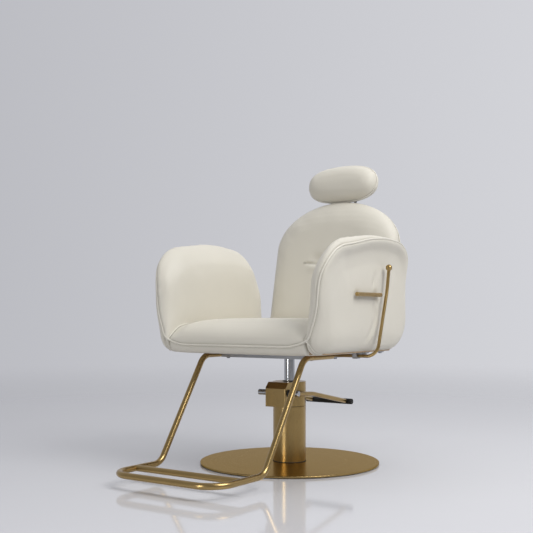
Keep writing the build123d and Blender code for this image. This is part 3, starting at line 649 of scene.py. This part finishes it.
# Sections from the inner face, over the edge to the piping (point 4), and down the outer panel.
SECTION_FRONT = [
    (0.002, 0.085), (0.003, 0.046), (0.0120, 0.014), (0.034, 0.000),
    (0.0460, 0.002), (0.0600, 0.010), (0.0670, 0.036), (0.0650, 0.085),
]
SECTION_SHOULDER = [
    (0.000, 0.095), (0.005, 0.060), (0.0290, 0.024), (0.060, 0.003),
    (0.0750, 0.013), (0.0785, 0.026), (0.0700, 0.055), (0.0650, 0.095),
]
SECTION_BROW = [
    (0.000, 0.095), (0.006, 0.060), (0.0340, 0.021), (0.064, 0.002),
    (0.0810, 0.025), (0.0800, 0.040), (0.0670, 0.066), (0.0615, 0.104),
]
SECTION_CROWN = [
    (0.000, 0.095), (0.006, 0.062), (0.0340, 0.024), (0.066, 0.002),
    (0.0830, 0.015), (0.0815, 0.030), (0.0675, 0.056), (0.0612, 0.092),
]
SECTION_REAR_CROWN = [
    (0.000, 0.095), (0.006, 0.064), (0.0330, 0.030), (0.066, 0.006),
    (0.0850, 0.005), (0.0835, 0.020), (0.0680, 0.048), (0.0615, 0.090),
]
SECTION_REAR_TOP = [
    (0.000, 0.095), (0.006, 0.062), (0.0320, 0.030), (0.068, 0.005),
    (0.0850, 0.003), (0.0835, 0.018), (0.0695, 0.046), (0.0635, 0.090),
]
SECTION_REAR = [
    (0.000, 0.085), (0.000, 0.046), (0.0085, 0.014), (0.032, 0.000),
    (0.0480, 0.002), (0.0620, 0.011), (0.0690, 0.038), (0.0665, 0.085),
]
SECTION_UNDER = [
    (0.001, 0.080), (0.001, 0.030), (0.0020, 0.004), (0.016, 0.000),
    (0.0350, 0.004), (0.0540, 0.018), (0.0640, 0.054), (0.0655, 0.090),
]
SECTION_CORNER = [
    (0.001, 0.080), (0.001, 0.032), (0.0015, 0.008), (0.004, 0.001),
    (0.0070, 0.002), (0.0300, 0.009), (0.0580, 0.044), (0.0655, 0.085),
]
ARM_STATIONS = [
    ((0.000, 0.200), SECTION_FRONT),
    ((0.000, 0.122), SECTION_FRONT),
    ((0.000, 0.038), SECTION_CORNER),
    ((0.070, 0.000), SECTION_UNDER),
    ((0.440, 0.000), SECTION_UNDER),
    ((0.558, 0.100), SECTION_REAR),
    ((0.556, 0.200), SECTION_REAR),
    ((0.515, 0.320), SECTION_REAR_TOP),
    ((0.430, 0.362), SECTION_REAR_CROWN),
    ((0.260, 0.369), SECTION_CROWN),
    ((0.110, 0.353), SECTION_BROW),
    ((0.030, 0.316), SECTION_SHOULDER),
]


def arm_frame(u, v, w):
    return np.stack([ARM_IN + w, FRONT + u, FLOOR + v], -1)


def mirrored(points):
    return np.asarray(points, float) * [-1, 1, 1]


arm_pad = Pad(
    rounded_outline(ARM_CORNERS, ARM_RADII),
    ((0.17, 0.17), (0.40, 0.17)),
    ARM_STATIONS,
    seam=4,
    place=arm_frame,
    middle=(-0.001, 0.0640),
    blend=40,
)
arm_seam = arm_pad.seam_line()
tip = arm_pad.nearest(0.0, 0.038)


def arm_held(co):
    """The arm's cover is held at its rim seam, where the seat meets it, at its underside and, less firmly, over
    its outer panel.
    """
    seam = held_along(co, arm_seam, 0.007)
    beside_seat = smoothstep(-co[:, 2], -(FLOOR + 0.110), -(FLOOR + 0.085)) * (co[:, 0] < ARM_IN + 0.012)
    under = smoothstep(-co[:, 2], -(FLOOR + 0.010), -(FLOOR + 0.002))
    panel = 0.75 * smoothstep(co[:, 0], ARM_IN + 0.052, ARM_IN + 0.060)
    return np.maximum.reduce([seam, beside_seat, under, panel])


left_arm = arm_pad.build("left_arm_cover")
swell(left_arm, arm_held, cap=0.005)
press(left_arm, arm_seam, 0.0048, 0.0030)

# The outer panel's fold, drawn in two soft stretches above and below the side bar, as (y, z).
FOLD_HIGH = [(0.013, 0.640), (0.004, 0.615), (-0.004, 0.590), (-0.008, 0.566)]
FOLD_LOW = [
    (-0.008, 0.552), (-0.003, 0.525), (0.001, 0.498), (-0.004, 0.475),
    (-0.018, 0.452), (-0.040, 0.425), (-0.062, 0.405),
]
for fold in (FOLD_HIGH, FOLD_LOW):
    line = through([(PANEL_X, y, z) for y, z in fold], 6)
    line = snap_to(left_arm, line, 0.0)
    press(left_arm, line - [0, 0.006, 0], 0.010, 0.0034, ends=0.035)
    press(left_arm, line + [0, 0.012, 0], 0.010, -0.0022, ends=0.035)

# The side bar's studs draw the panel in.
bar_lo, bar_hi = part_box("left_side_bar")
STUD_IN = 0.022  # from each end of the bar to its stud
stud_z = (bar_lo.z + bar_hi.z) / 2
for y in (bar_lo.y + STUD_IN, bar_hi.y - STUD_IN):
    stud = snap_to(left_arm, [(PANEL_X, y + dy, stud_z) for dy in (-0.001, 0.001)], 0.0)
    press(left_arm, stud, 0.012, 0.0035)

# Painted shade along the arm's rim seam.
add_painted_shade_attribute(left_arm, [(arm_seam, 0.0045)])
paint(left_arm, cream_leather)

right_arm = left_arm.copy()
right_arm.data = left_arm.data.copy()
right_arm.name = "right_arm_cover"
bpy.context.scene.collection.objects.link(right_arm)
move_vertices(right_arm, mirrored(vertices_of(left_arm)))
right_arm.data.flip_normals()

for side, arm in (("left", left_arm), ("right", right_arm)):
    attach(arm, "seat")
    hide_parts(f"{side}_arm_pad")

# ---- seat -----------------------------------------------------------------------------------------
seat_lo, seat_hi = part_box("seat_cushion")
SEAT_W = seat_hi.x

# The seat's side profile as (depth from the front, height), from under the front edge over its piping
# (point 2), up the front roll and back along the top: once for the middle and once beside an arm.
SEAT_MIDDLE = [
    (0.064, -0.004), (0.016, -0.002), (0.0015, 0.023), (0.006, 0.056), (0.032, 0.085), (0.080, 0.0980),
    (0.150, 0.1015), (0.300, 0.1030), (0.440, 0.1015), (0.496, 0.093),
    (0.517, 0.068), (0.514, 0.020), (0.490, 0.001), (0.130, 0.001),
]
SEAT_BESIDE_ARM = [
    (0.064, -0.004), (0.018, 0.001), (0.0030, 0.033), (0.004, 0.044), (0.044, 0.074), (0.084, 0.0870),
    (0.150, 0.0915), (0.300, 0.0935), (0.440, 0.0915), (0.490, 0.084),
    (0.508, 0.062), (0.506, 0.022), (0.486, 0.001), (0.130, 0.001),
]
SEAT_SEAM = 2


def seat_profile(x):
    """The seat's side profile at a place across the chair, sinking towards the arms."""
    share = smoothstep(abs(x), SEAT_W - 0.062, SEAT_W - 0.004)
    return np.array(SEAT_MIDDLE) * (1 - share) + np.array(SEAT_BESIDE_ARM) * share


def seat_frame(x, profile):
    return np.stack([np.full(len(profile), x), seat_lo.y + profile[:, 0], seat_lo.z + profile[:, 1]], -1)


def seat_line(index, places):
    """One point of the profile followed across the chair."""
    return np.concatenate([seat_frame(x, seat_profile(x)[index : index + 1]) for x in places])


def seat_form(name):
    """The seat pad lofted across the chair, with closed profiles and flat ends against the arms."""
    places = np.concatenate([
        np.linspace(-SEAT_W, -SEAT_W + 0.064, 14),
        np.linspace(-SEAT_W + 0.075, SEAT_W - 0.075, 40),
        np.linspace(SEAT_W - 0.064, SEAT_W, 14),
    ])
    rings = np.array([seat_frame(x, through(seat_profile(x), 4)) for x in places])
    count, depth = rings.shape[:2]
    faces = [
        (k * depth + j, k * depth + (j + 1) % depth, (k + 1) * depth + (j + 1) % depth, (k + 1) * depth + j)
        for k in range(count - 1)
        for j in range(depth)
    ]
    faces.append(tuple(range(depth)))
    faces.append(tuple((count - 1) * depth + j for j in reversed(range(depth))))
    return facing_outward(new_mesh(name, rings.reshape(-1, 3), faces))


seat_seam = seat_line(SEAT_SEAM, np.linspace(-SEAT_W, SEAT_W, 90))


def seat_held(co):
    """The seat's cover is held at the front piping, under the board and against the arms."""
    seam = held_along(co, seat_seam, 0.008)
    beside_arm = smoothstep(np.abs(co[:, 0]), SEAT_W - 0.006, SEAT_W - 0.001)
    under = smoothstep(-co[:, 2], -(seat_lo.z + 0.010), -(seat_lo.z + 0.003))
    return np.maximum.reduce([seam, beside_arm, under])


seat_cover = seat_form("seat_cover")
swell(seat_cover, seat_held, cap=0.005)
press(seat_cover, seat_seam, 0.0048, 0.0028)
# Painted shade along the seat's front seam and along both sides where the seat meets the arms.
painted_crease_shade = [seat_frame(sign * SEAT_W, through(seat_profile(SEAT_W)[3:9], 8)) for sign in (-1, 1)]
add_painted_shade_attribute(seat_cover, [(seat_seam, 0.0045), (painted_crease_shade[0], 0.006), (painted_crease_shade[1], 0.006)])
paint(seat_cover, cream_leather)
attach(seat_cover, "seat")
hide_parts("seat_cushion")

# ---- piping on the tub ----------------------------------------------------------------------------
# The rim piping runs up from each arm's rear, over its crown and down its front, then crosses the seat's
# front edge. A second piping comes forward in the crease beside the seat, crosses the first at the corner
# and edges the arm's underside.
rear_end = arm_pad.nearest(0.558, 0.100)
rim = snap_to(left_arm, arm_seam[tip + 1 : rear_end + 1], PIPING_R * 0.45)
under = np.concatenate([arm_seam[rear_end:], arm_seam[:tip]])
under = snap_to(left_arm, under, FINE_PIPING_R * 0.3)
front_edge = snap_to(seat_cover, seat_seam[2:-2], PIPING_R * 0.45)
rim_path = np.concatenate([mirrored(rim)[::-1], front_edge, rim])
rim_path = smooth_line(resample(rim_path, CORD_STEP, closed=False), 5)
rim_piping = tube("rim_piping", rim_path, PIPING_R)

crease_line = seat_frame(SEAT_W, through(seat_profile(SEAT_W)[2:7], 8)) + [0, 0, 0.0005]
crease_line = crease_line[crease_line[:, 1] < seat_lo.y + 0.115]
pipings = [rim_piping]
for side, flip in (("left", False), ("right", True)):
    lower = np.concatenate([under, [under[-1] + [-0.004, -0.0005, 0.006]], crease_line[3:]])
    lower = smooth_line(resample(lower, CORD_STEP, closed=False), 6)
    pipings.append(tube(f"{side}_lower_piping", mirrored(lower) if flip else lower, FINE_PIPING_R, taper=0.030))
for piping in pipings:
    paint(piping, piping_leather)
    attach(piping, "seat")

# ---- backrest -------------------------------------------------------------------------------------
board_lo, board_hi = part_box("back_board")
BOARD_T = 0.012
BACK_W = 0.253
BACK_FOOT = -0.014
BACK_SHOULDER = 0.307
BACK_RISE = 0.180
BACK_FACE = 0.046  # about how far the front pad stands out of the board
OUT_OF_BACK = np.array([0, -math.cos(BACK_LEAN), math.sin(BACK_LEAN)])


def back_frame(u, v, w):
    """u across the back, v up it from the board's lower edge, and w out of the board's front face."""
    u, v, w = np.broadcast_arrays(u, v, w)
    y = board_lo.y + v * math.sin(BACK_LEAN) - w * math.cos(BACK_LEAN)
    z = board_lo.z + (BOARD_T + w) * math.sin(BACK_LEAN) + v * math.cos(BACK_LEAN)
    return np.stack([u, y, z], -1)


def back_outline():
    """Half an ellipse over straight sides, with round lower corners."""
    a = np.linspace(0, math.pi, 60)
    arch = np.stack([BACK_W * np.cos(a), BACK_SHOULDER + BACK_RISE * np.sin(a)], 1)
    corner = 0.045
    q = np.linspace(0, math.pi / 2, 12)
    left = np.stack([-BACK_W + corner - corner * np.cos(q), BACK_FOOT + corner - corner * np.sin(q)], 1)
    right = (left * [-1, 1])[::-1]
    return resample(np.concatenate([arch, left, right]), OUTLINE_STEP, closed=True)


BACK_SPINE = ((0.0, 0.13), (0.0, 0.31))
FRONT_PAD_SIDE = [
    (0.0006, 0.095), (0.0006, 0.034), (-0.005, 0.012), (-0.0115, 0.002),
    (0.007, 0.0), (0.028, 0.010), (0.0405, 0.036), (0.0430, 0.095),
]
FRONT_PAD_TOP = [
    (0.0006, 0.095), (0.0006, 0.034), (-0.005, 0.012), (-0.0115, 0.002),
    (0.005, 0.0), (0.025, 0.011), (0.0395, 0.040), (0.0430, 0.095),
]
REAR_PAD = [
    (-0.0125, 0.095), (-0.0125, 0.034), (-0.0125, 0.012), (-0.0120, 0.002),
    (-0.020, 0.002), (-0.033, 0.010), (-0.0425, 0.034), (-0.0440, 0.095),
]
BACK_SIDES = ((0.249, 0.15), (-0.249, 0.15))
FRONT_STATIONS = [(BACK_SIDES[0], FRONT_PAD_SIDE), ((0, 0.487), FRONT_PAD_TOP), (BACK_SIDES[1], FRONT_PAD_SIDE)]
REAR_STATIONS = [(side, REAR_PAD) for side in BACK_SIDES]
back_pad = Pad(back_outline(), BACK_SPINE, FRONT_STATIONS, seam=3, place=back_frame)
rear_pad = Pad(back_outline(), BACK_SPINE, REAR_STATIONS, seam=3, place=back_frame)
back_seam = back_pad.seam_line()


def back_held(co):
    """The back's covers are held round their seam and flat against the board."""
    w = back_depth(co)
    seam = held_along(co, back_seam, 0.008)
    return np.maximum(seam, smoothstep(-np.abs(w + BOARD_T / 2), -0.012, -0.007))


def back_depth(co):
    """How far each vertex stands out of the board's front face."""
    return (co - back_frame(0.0, 0.0, 0.0)) @ OUT_OF_BACK


back_cover = back_pad.build("back_cover")
swell(back_cover, back_held, cap=0.006)
rear_cover = rear_pad.build("back_rear_cover")
swell(rear_cover, back_held, cap=0.004)

# The lumbar tuck: a sharp pinched line with a shallow pocket above it and a low ridge under it.
TUCK_V = 0.245
TUCK_HALF = 0.100
across = np.linspace(-TUCK_HALF, TUCK_HALF, 41)
sag = 0.004 * (across / TUCK_HALF) ** 2
tuck = snap_to(back_cover, back_frame(across, TUCK_V + sag, BACK_FACE), 0.0)
above = snap_to(back_cover, back_frame(across * 0.90, TUCK_V + 0.016, BACK_FACE), 0.0)
below = snap_to(back_cover, back_frame(across, TUCK_V - 0.016, BACK_FACE), 0.0)
press(back_cover, above, 0.019, 0.0060, ends=0.04, facing=OUT_OF_BACK)
press(back_cover, below, 0.013, -0.0022, ends=0.04, facing=OUT_OF_BACK)
press(back_cover, tuck, 0.0052, 0.0066, ends=0.018, facing=OUT_OF_BACK)
press(back_cover, back_seam, 0.0045, 0.0022)
press(rear_cover, back_seam, 0.0035, 0.0010)
# Painted shade along the back's seam and in the lumbar tuck.
add_painted_shade_attribute(back_cover, [(back_seam, 0.004), (tuck, 0.004)])
add_painted_shade_attribute(rear_cover, [(back_seam, 0.004)])
back_loop = smooth_line(back_pad.seam_line(lift=PIPING_LIFT), 3, closed=True)
back_piping = tube("back_piping", back_loop, FINE_PIPING_R, closed=True)
for obj, replaced in ((back_cover, "back_cushion"), (rear_cover, "back_rear_pad"), (back_piping, None)):
    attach(obj, "back")
    paint(obj, cream_leather if replaced else piping_leather)
    if replaced:
        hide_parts(replaced)

# ---- headrest -------------------------------------------------------------------------------------
PILLOW_V = 0.5565
PILLOW_W = 0.1410
PILLOW_H = 0.0685
PILLOW_POWER = 2.45


def pillow_outline():
    """The headrest from the front, between an ellipse and a rectangle."""
    a = np.linspace(0, 2 * math.pi, 240, endpoint=False)
    c, s = np.cos(a), np.sin(a)
    u = PILLOW_W * np.sign(c) * np.abs(c) ** (2 / PILLOW_POWER)
    v = PILLOW_H * np.sign(s) * np.abs(s) ** (2 / PILLOW_POWER)
    return resample(np.stack([u, PILLOW_V + v], 1), 0.006, closed=True)


PILLOW = [
    (-0.0415, 0.062), (-0.0400, 0.040), (-0.0345, 0.016), (-0.0200, 0.002), (-0.0020, 0.000),
    (0.0130, 0.0035), (0.0290, 0.016), (0.0395, 0.038), (0.0425, 0.062),
]
pillow_pad = Pad(
    pillow_outline(),
    ((-0.075, PILLOW_V), (0.075, PILLOW_V)),
    [((PILLOW_W, PILLOW_V), PILLOW), ((-PILLOW_W, PILLOW_V), PILLOW)],
    seam=4,
    place=back_frame,
)
pillow_seam = pillow_pad.seam_line()


def pillow_held(co):
    """The headrest's cover is held round its seam."""
    return held_along(co, pillow_seam, 0.006)


pillow = pillow_pad.build("headrest_cover")
swell(pillow, pillow_held, cap=0.003, voxel=0.0045)
press(pillow, pillow_seam, 0.003, 0.0012)
# Painted shade along the headrest's seam.
add_painted_shade_attribute(pillow, [(pillow_seam, 0.0035)])
paint(pillow, cream_leather)
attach(pillow, "headrest")
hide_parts("headrest_pillow")
pillow_loop = smooth_line(pillow_pad.seam_line(lift=PIPING_LIFT), 3, closed=True)
pillow_piping = tube("headrest_piping", pillow_loop, FINE_PIPING_R, closed=True)
paint(pillow_piping, piping_leather)
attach(pillow_piping, "headrest")

# ---- floor, light and camera ----------------------------------------------------------------------
FLOOR_R = 40.0
FLOOR_SIDES = 96
turns = np.linspace(0, 2 * math.pi, FLOOR_SIDES, endpoint=False)
ring = [(FLOOR_R * math.cos(a), FLOOR_R * math.sin(a), 0.0) for a in turns]
floor = new_mesh("floor", ring, [tuple(range(FLOOR_SIDES))])
floor_material, floor_tree, floor_shader = new_material("pale_floor")
floor_place = node(floor_tree, "ShaderNodeTexCoord").outputs["Object"]
floor_cloud = noise(floor_tree, floor_place, 0.8, detail=2.0)
from_middle = node(floor_tree, "ShaderNodeVectorMath", {0: floor_place}, operation="LENGTH").outputs["Value"]
# Painted pool of light: the floor is a little lighter near the chair and darker further out.
painted_pool_falloff = rise(floor_tree, from_middle, 0.6, 3.2)
faded = node(
    floor_tree,
    "ShaderNodeMapRange",
    {"Value": from_middle, "From Min": 1.6, "From Max": 6.5, "To Min": 1.0, "To Max": 0.0},
    interpolation_type="SMOOTHSTEP",
).outputs["Result"]
near_tone = mix(floor_tree, floor_cloud, (0.600, 0.600, 0.622, 1), (0.614, 0.614, 0.636, 1))
floor_tone = mix(floor_tree, painted_pool_falloff, near_tone, (0.590, 0.590, 0.615, 1))
floor_tree.links.new(floor_tone, floor_shader.inputs["Base Color"])
floor_tree.links.new(spread(floor_tree, floor_cloud, 0.05, 0.09), floor_shader.inputs["Roughness"])
floor_tree.links.new(faded, floor_shader.inputs["Alpha"])
floor_shader.inputs["Specular IOR Level"].default_value = 0.45
paint(floor, floor_material)


def area_light(name, place, target, size, power, glossy=True):
    """A soft light facing its target; without glossy it lights surfaces but isn't mirrored in them."""
    data = bpy.data.lights.new(name, "AREA")
    data.shape = "RECTANGLE"
    data.size, data.size_y = size
    data.energy = power
    light = bpy.data.objects.new(name, data)
    bpy.context.scene.collection.objects.link(light)
    light.location = place
    light.rotation_euler = (Vector(target) - Vector(place)).to_track_quat("-Z", "Y").to_euler()
    light.visible_camera = False
    light.visible_glossy = glossy


area_light("key", (2.6, -0.2, 3.0), (0.0, 0.0, 0.5), (2.2, 2.2), 98)
area_light("top", (0.1, 0.4, 3.8), (0.0, 0.0, 0.5), (3.0, 3.0), 40, glossy=False)
area_light("front_strip", (-0.35, -3.3, 0.75), (0.0, 0.0, 0.45), (0.40, 1.3), 21)

CAMERA_YAW = math.radians(34.7)
world = bpy.data.worlds.new("studio")
bpy.context.scene.world = world
world.use_nodes = True
world_tree = world.node_tree
direction = node(world_tree, "ShaderNodeTexCoord").outputs["Generated"]
rightward = node(
    world_tree,
    "ShaderNodeVectorMath",
    {0: direction, 1: (math.cos(CAMERA_YAW), math.sin(CAMERA_YAW), 0.0)},
    operation="DOT_PRODUCT",
).outputs["Value"]
to_right = rise(world_tree, rightward, -0.35, 0.35)
tone = mix(world_tree, to_right, (0.490, 0.495, 0.530, 1), (0.660, 0.665, 0.700, 1))
behind = node(
    world_tree,
    "ShaderNodeVectorMath",
    {0: direction, 1: (-math.sin(CAMERA_YAW), math.cos(CAMERA_YAW), 0.0)},
    operation="DOT_PRODUCT",
).outputs["Value"]
tone = mix(world_tree, rise(world_tree, behind, -0.3, 0.6), (0.285, 0.285, 0.296, 1), tone)
backdrop = next(n for n in world_tree.nodes if n.type == "BACKGROUND")
world_tree.links.new(tone, backdrop.inputs["Color"])
backdrop.inputs["Strength"].default_value = 1.0

camera_data = bpy.data.cameras.new("camera")
camera_data.sensor_width = 36.0
camera_data.lens = 59.34
camera_data.shift_y = 0.091
camera = bpy.data.objects.new("camera", camera_data)
bpy.context.scene.collection.objects.link(camera)
camera.location = (1.6224, -2.4793, 0.4976)
camera.rotation_euler = (math.radians(90), 0, CAMERA_YAW)
bpy.context.scene.camera = camera
bpy.context.scene.view_settings.view_transform = "Standard"
